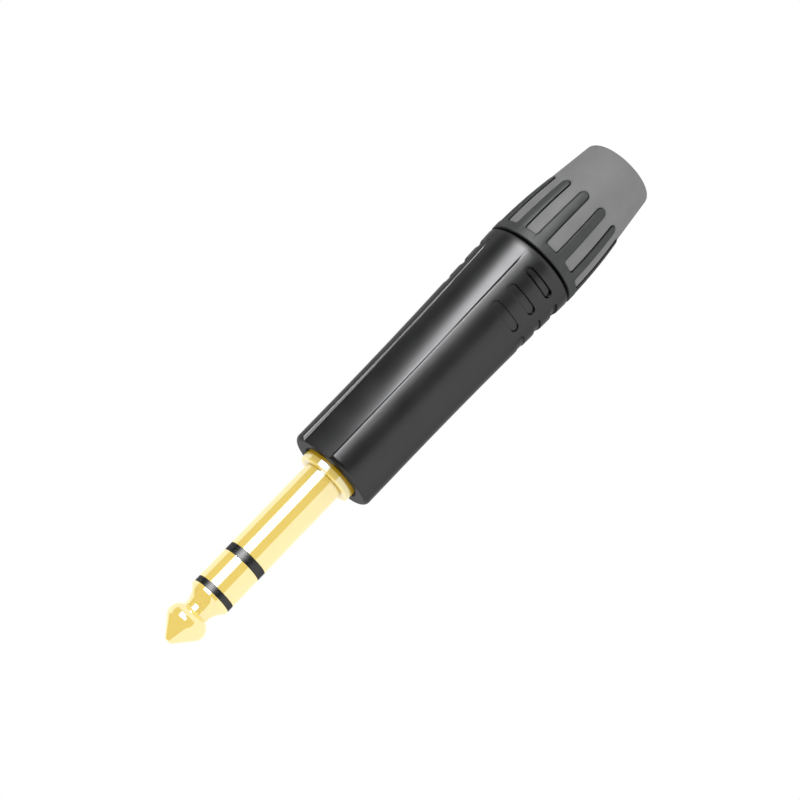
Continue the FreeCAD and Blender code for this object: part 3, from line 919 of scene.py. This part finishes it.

# %% [markdown]
# The collar is one moulding with a threaded spigot in front, a neck that shows as the black seam, the
# ring, and the fingers on a cone. Inside, its bore narrows to the cone that squeezes the chuck. The neck
# and the sides of the fingers are marked, and the finish paints them black as shade. A side is told by
# how far, in millimetres, the surface already lies below the top of its finger.

# %% Collar
neck_r = collar_r - 0.9
collar_round = 0.15
spigot_r = 6.0
spigot_bore_r = 5.15
squeeze_r = 4.6
cable_r = 3.75
z_stop = z_housing - 0.05
z_squeeze = 19.0
z_end_wall = z_core + 3.45
finger_lip = 0.12
finger_side_shade = (0.06, 0.143)


def collar_grid():
    """Radius and height of the collar for every row and column, and the mark of painted shade on its neck and
    on the sides of its fingers.
    """
    z_low = finger_heights(z_core, z_ring)[:, None]
    step = finger_radius(z_low) - core_radius(z_low)
    distance = finger_distance(collar_angles, z_low)
    standing = wall(-distance, step, finger_lip)
    fingers = finger_radius(z_low) - standing
    flat = np.ones_like(collar_angles)

    front = outline([(collar_r, z_ring + 0.1, 0), (collar_r, z_collar, collar_round), (neck_r, z_collar, 0),
                     (neck_r, z_stop, 0), (spigot_r, z_stop, 0)])
    z_screw = np.linspace(z_stop + 0.1, z_spigot - 0.1, 60)[:, None]
    screw = spigot_r + thread(collar_angles, z_screw, z_stop + 0.4, z_spigot - thread_end, shift=0)
    bore = outline([(spigot_r - 0.2, z_spigot, 0), (spigot_bore_r, z_spigot, 0),
                    (spigot_bore_r, z_squeeze, 0), (squeeze_r, z_end_wall, 0),
                    (cable_r, z_end_wall, 0), (cable_r, z_core, 0)])
    radius = np.vstack([fingers, front[:, :1] * flat, screw, bore[:, :1] * flat])
    height = np.vstack([z_low * flat, front[:, 1:] * flat, z_screw * flat, bore[:, 1:] * flat])
    # Painted shade on the neck and on the sides of the fingers.
    at_neck = (height > z_collar - 0.01) & (height < z_stop + 0.01)
    painted_shade = np.where(at_neck & (radius < collar_r - 0.3), 1.0, 0.0)
    painted_shade[:len(z_low)] = ramp(standing, *finger_side_shade)
    return radius, height, painted_shade


collar_grid_r, collar_grid_z, collar_steep = collar_grid()
clamp = add_piece("collar", collar_grid_r, collar_grid_z, collar_angles, collar, "rear_collar",
                  painted_shade=collar_steep)
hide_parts("clamp_nut")

# %% [markdown]
# The boot is moulded straight onto the collar. Its skin runs a little below the fingers, closes in to
# the tail, and turns in with a round lip where the cable would come out.

# %% Boot
tail_r = 5.82
tail_round = 0.8
joint_gap = 0.03
entry_chamfer = 0.4


def boot_grid():
    """Radius and height of the boot for every row and column."""
    flat = np.ones_like(collar_angles)
    t = np.linspace(0, math.pi / 2, 10)[:, None]
    lip_r = (tail_r - tail_round * (1 - np.sin(t))) * flat
    lip_z = tail_round * (1 - np.cos(t)) * flat
    rear_skin = finger_radius(z_fingers) - rubber_step

    z_tail = np.linspace(tail_round, z_fingers - 0.12, 12)[1:, None]
    tail = tail_r + (rear_skin - tail_r) * (z_tail - tail_round) / (z_fingers - tail_round) * flat

    z_skin = finger_heights(z_fingers - 0.1, z_ring - 0.01)[:, None]
    skin = finger_radius(z_skin) - rubber_step
    depth = skin - core_radius(z_skin) - 0.1
    skin = skin - wall(finger_distance(collar_angles, z_skin) - joint_gap, depth, cut_lip)

    inside = outline([(core_front_r, z_ring, 0), (core_rear_r, z_core, 0), (cable_r, z_core, 0),
                      (cable_r, entry_chamfer, 0), (cable_r + entry_chamfer, 0, 0)])
    radius = np.vstack([lip_r, tail, skin, inside[:, :1] * flat])
    height = np.vstack([lip_z, z_tail * flat, z_skin * flat, inside[:, 1:] * flat])
    return radius, height


boot_r, boot_z = boot_grid()
boot = add_piece("rubber_boot", boot_r, boot_z, collar_angles, rubber, "rear_collar")
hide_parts("boot")

# %% [markdown]
# The pieces inside the shell keep the shapes that came in, and only take their finishes: tin on the
# tags, matt black plastic on the carrier, the sleeve and the spacers, and a pale one on the chuck.

# %% Finishes of the inner pieces
inner_finishes = {
    "ground_terminal": tags, "ring_terminal": tags, "tip_terminal": tags,
    "ground_spacer": carrier, "ring_spacer": carrier,
    "contact_carrier": carrier, "insulating_sleeve": carrier, "chuck": jaws,
}
for name, finish in inner_finishes.items():
    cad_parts[name].material_slots[0].material = finish
print("inner pieces", len(inner_finishes))

# %% [markdown]
# The light of a product picture is a room of white walls with dark gaps, because polished metal shows
# nothing but its surroundings. Walls and lamps built as objects would get in each other's way, so the
# room is painted here as a sky, by direction. The brushes are masks from 0 to 1. Each upright strip is
# given by the azimuth of its middle, its half width and the softness of its edge, and each edge across
# by its height, or its depth below the horizon, and its softness, all in degrees.

# %% Masks for the room
def calculate(tree, operation, first, second=0):
    """Result of a Math node, whose two values are numbers or sockets."""
    node = tree.nodes.new("ShaderNodeMath")
    node.operation = operation
    for socket, value in zip(node.inputs, (first, second)):
        if isinstance(value, (int, float)):
            socket.default_value = value
        else:
            link(tree, value, socket)
    return node.outputs[0]


def times(tree, first, *others):
    """Product of two or more values."""
    for other in others:
        first = calculate(tree, "MULTIPLY", first, other)
    return first


def falling(tree, angle, limit, soft):
    """1 below a limit in degrees and 0 above it, by a smooth step."""
    node = tree.nodes.new("ShaderNodeMapRange")
    node.interpolation_type = "SMOOTHSTEP"
    node.inputs["From Min"].default_value = math.radians(limit - soft)
    node.inputs["From Max"].default_value = math.radians(limit + soft)
    node.inputs["To Min"].default_value = 1
    node.inputs["To Max"].default_value = 0
    link(tree, angle, node.inputs["Value"])
    return node.outputs["Result"]


def strip(tree, direction, azimuth, half, soft):
    """Mask of an upright strip.

    The angle from its middle is the arc cosine of the dot product of two level vectors of length 1:
    the direction with its height taken away, and the one that points to the azimuth."""
    level = tree.nodes.new("ShaderNodeVectorMath")
    level.operation = "MULTIPLY"
    link(tree, direction, level.inputs[0])
    level.inputs[1].default_value = (1, 1, 0)
    normal = tree.nodes.new("ShaderNodeVectorMath")
    normal.operation = "NORMALIZE"
    link(tree, level.outputs["Vector"], normal.inputs[0])
    dot = tree.nodes.new("ShaderNodeVectorMath")
    dot.operation = "DOT_PRODUCT"
    link(tree, normal.outputs["Vector"], dot.inputs[0])
    turn = math.radians(azimuth)
    dot.inputs[1].default_value = (math.cos(turn), math.sin(turn), 0)
    return falling(tree, calculate(tree, "ARCCOSINE", dot.outputs["Value"]), half, soft)


def for_rays(tree, flag, value, level):
    """The level for the rays with a flag, and the value for all others."""
    mix = tree.nodes.new("ShaderNodeMix")
    link(tree, flag, mix.inputs["Factor"])
    link(tree, value, mix.inputs["A"])
    mix.inputs["B"].default_value = level
    return mix.outputs["Result"]


print("the room is measured from the azimuth of the X axis, anticlockwise as seen from above")

# %% [markdown]
# Towards the camera side stands a dark screen with one bright narrow lamp in it, and it is white
# everywhere else. The lamp is brighter and narrower low down, where the shell's flare mirrors it. Matt
# surfaces gather light from all sides, so they get the even level of the white walls, which also keeps
# the picture free of noise.

# %% Light of the room
room_level = 1.3
dark_level = 0.15
backdrop_level = 1.0
screen = (266, 68.5, 2.5)
high_screen = (285, 83, 6)
high_screen_foot = (22, 6)
screen_bottom = (32, 8)
wide_lamp = (265, 22.6, 3)
wide_lamp_level = 3.5
lamp_core = (261, 14, 8)
lamp_core_level = 7
lamp_top = (14.5, 1)
lamp_bottom = (12, 1)
low_lamp = (272.3, 15.7, 2.5)
low_lamp_level = 21.5
low_lamp_top = (-12, 1)
low_lamp_bottom = (25, 2)


def lit_room():
    """Sky whose strength depends on the direction: the walls less the dark, and the two lamps."""
    world = bpy.data.worlds.new("room")
    world.use_nodes = True
    tree = world.node_tree
    direction = tree.nodes.new("ShaderNodeTexCoord").outputs["Generated"]
    parts = tree.nodes.new("ShaderNodeSeparateXYZ")
    link(tree, direction, parts.inputs["Vector"])
    height = calculate(tree, "ARCSINE", parts.outputs["Z"])
    depth = times(tree, height, -1)

    is_high = calculate(tree, "SUBTRACT", 1, falling(tree, height, *high_screen_foot))
    high = times(tree, strip(tree, direction, *high_screen), is_high)
    dark = calculate(tree, "MAXIMUM", strip(tree, direction, *screen), high)
    dark = times(tree, dark, falling(tree, depth, *screen_bottom), room_level - dark_level)
    strength = calculate(tree, "SUBTRACT", room_level, dark)

    lamp = times(tree, strip(tree, direction, *wide_lamp), wide_lamp_level)
    core = times(tree, strip(tree, direction, *lamp_core), lamp_core_level)
    lamp = calculate(tree, "ADD", lamp, core)
    lamp = times(tree, lamp, falling(tree, height, *lamp_top), falling(tree, depth, *lamp_bottom))
    strength = calculate(tree, "ADD", strength, lamp)

    low = times(tree, strip(tree, direction, *low_lamp), low_lamp_level)
    low = times(tree, low, falling(tree, height, *low_lamp_top), falling(tree, depth, *low_lamp_bottom))
    strength = calculate(tree, "ADD", strength, low)

    rays = tree.nodes.new("ShaderNodeLightPath")
    strength = for_rays(tree, rays.outputs["Is Diffuse Ray"], strength, room_level)
    strength = for_rays(tree, rays.outputs["Is Camera Ray"], strength, backdrop_level)
    link(tree, strength, tree.nodes["Background"].inputs["Strength"])
    tree.nodes["Background"].inputs["Color"].default_value = (1, 1, 1, 1)
    return world


bpy.context.scene.world = lit_room()
bpy.context.scene.world.cycles.sampling_method = "NONE"
bpy.context.scene.view_settings.view_transform = "Standard"
print("the room is painted by", len(bpy.context.scene.world.node_tree.nodes), "nodes")

# %% [markdown]
# The floor is a plain white sheet that only the camera sees. Were it seen by the metal as well, every
# barrel would mirror it, because the camera looks down on the plug. It lies a little below the boot,
# which comes down as the collar is unscrewed.

# %% Floor
floor_half = 4.0
floor_drop = 8 * MM


def white_floor(half_size, drop):
    """Square sheet that glows evenly, at a depth below the boot."""
    finish = bpy.data.materials.new("floor")
    finish.use_nodes = True
    shader = finish.node_tree.nodes["Principled BSDF"]
    shader.inputs["Base Color"].default_value = (0, 0, 0, 1)
    shader.inputs["Specular IOR Level"].default_value = 0
    shader.inputs["Emission Color"].default_value = (1, 1, 1, 1)
    shader.inputs["Emission Strength"].default_value = 1.0
    mesh = bpy.data.meshes.new("floor")
    corners = [(-half_size, -half_size, -drop), (half_size, -half_size, -drop), (half_size, half_size, -drop),
               (-half_size, half_size, -drop)]
    mesh.from_pydata(corners, [], [(0, 1, 2, 3)])
    mesh.materials.append(finish)
    floor = bpy.data.objects.new("floor", mesh)
    bpy.context.scene.collection.objects.link(floor)
    floor.visible_glossy = False
    floor.visible_diffuse = False
    floor.visible_shadow = False
    return floor


white_floor(floor_half, floor_drop)
print("floor", floor_drop / MM, "mm below the boot")

# %% [markdown]
# The camera looks slightly down on the standing plug from its front left, and is rolled over so that
# the plug lies across the picture with its tip at the lower left. A long lens keeps the barrels nearly
# parallel.

# %% Camera
view_azimuth = math.radians(-37.99)
view_elevation = math.radians(14.694)
view_roll = math.radians(-136.108)
view_distance = 326.964 * MM
view_height = 48.086 * MM
lens_mm = 103.5


def place_camera():
    """Camera on a sphere round a point of the axis, turned about its own line of sight by the roll."""
    towards = np.array([math.sin(view_azimuth) * math.cos(view_elevation),
                        -math.cos(view_azimuth) * math.cos(view_elevation), math.sin(view_elevation)])
    place = np.array([0, 0, view_height]) + view_distance * towards
    level = unit(np.cross(-towards, [0, 0, 1]))
    upright = np.cross(level, -towards)
    right = math.cos(view_roll) * level + math.sin(view_roll) * upright
    up = np.cross(towards, right)
    data = bpy.data.cameras.new("camera")
    data.lens = lens_mm
    data.clip_start = 0.01
    data.clip_end = 20
    camera = bpy.data.objects.new("camera", data)
    camera.matrix_world = Matrix(np.column_stack([right, up, towards]).tolist()).to_4x4()
    camera.location = place.tolist()
    bpy.context.scene.collection.objects.link(camera)
    bpy.context.scene.camera = camera
    return camera


print("camera at", [round(c / MM, 1) for c in place_camera().location])
